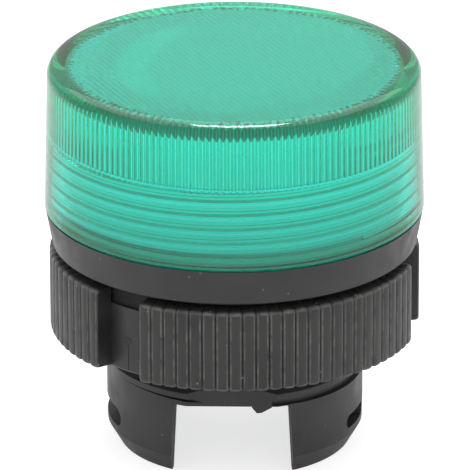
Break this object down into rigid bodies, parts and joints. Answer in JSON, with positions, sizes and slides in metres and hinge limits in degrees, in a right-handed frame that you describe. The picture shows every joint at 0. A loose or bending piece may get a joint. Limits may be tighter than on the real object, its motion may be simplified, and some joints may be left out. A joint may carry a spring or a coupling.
{
  "type": "panel pilot light head",
  "caption": "Round panel pilot light head: a green fluted lens cap screwed on a black flanged barrel, with a ribbed clamping ring nut and legs with bayonet slots.",
  "frame": {"origin": "on the head's axis, in the underside of the bezel, which is where the front of the panel would be", "axes": "+Z out through the lens, -Y towards the camera of the picture, with the gap between the legs along Y"},
  "size_m": [0.029, 0.029, 0.0304],
  "materials": {
    "lens": "polished clear green plastic, fluted inside",
    "seal_rubber": "plain black rubber",
    "body_plastic": "black moulded plastic with a faint sheen",
    "gasket_rubber": "plain black rubber",
    "nut_plastic": "black moulded plastic, slightly rubbed on the ribs"
  },
  "bodies": {
    "body": {"body": "body_plastic", "lens_seal": "seal_rubber", "panel_gasket": "gasket_rubber"},
    "lens": {"lens": "lens"},
    "ring_nut": {"ring_nut": "nut_plastic"}
  },
  "joints": [
    {"name": "lens_lift", "type": "slide", "parent": "body", "child": "lens", "axis": [0, 0, 1], "range_m": [0, 0.008]},
    {"name": "nut_travel", "type": "slide", "parent": "body", "child": "ring_nut", "axis": [0, 0, -1], "range_m": [0, 0.0088]}
  ]
}
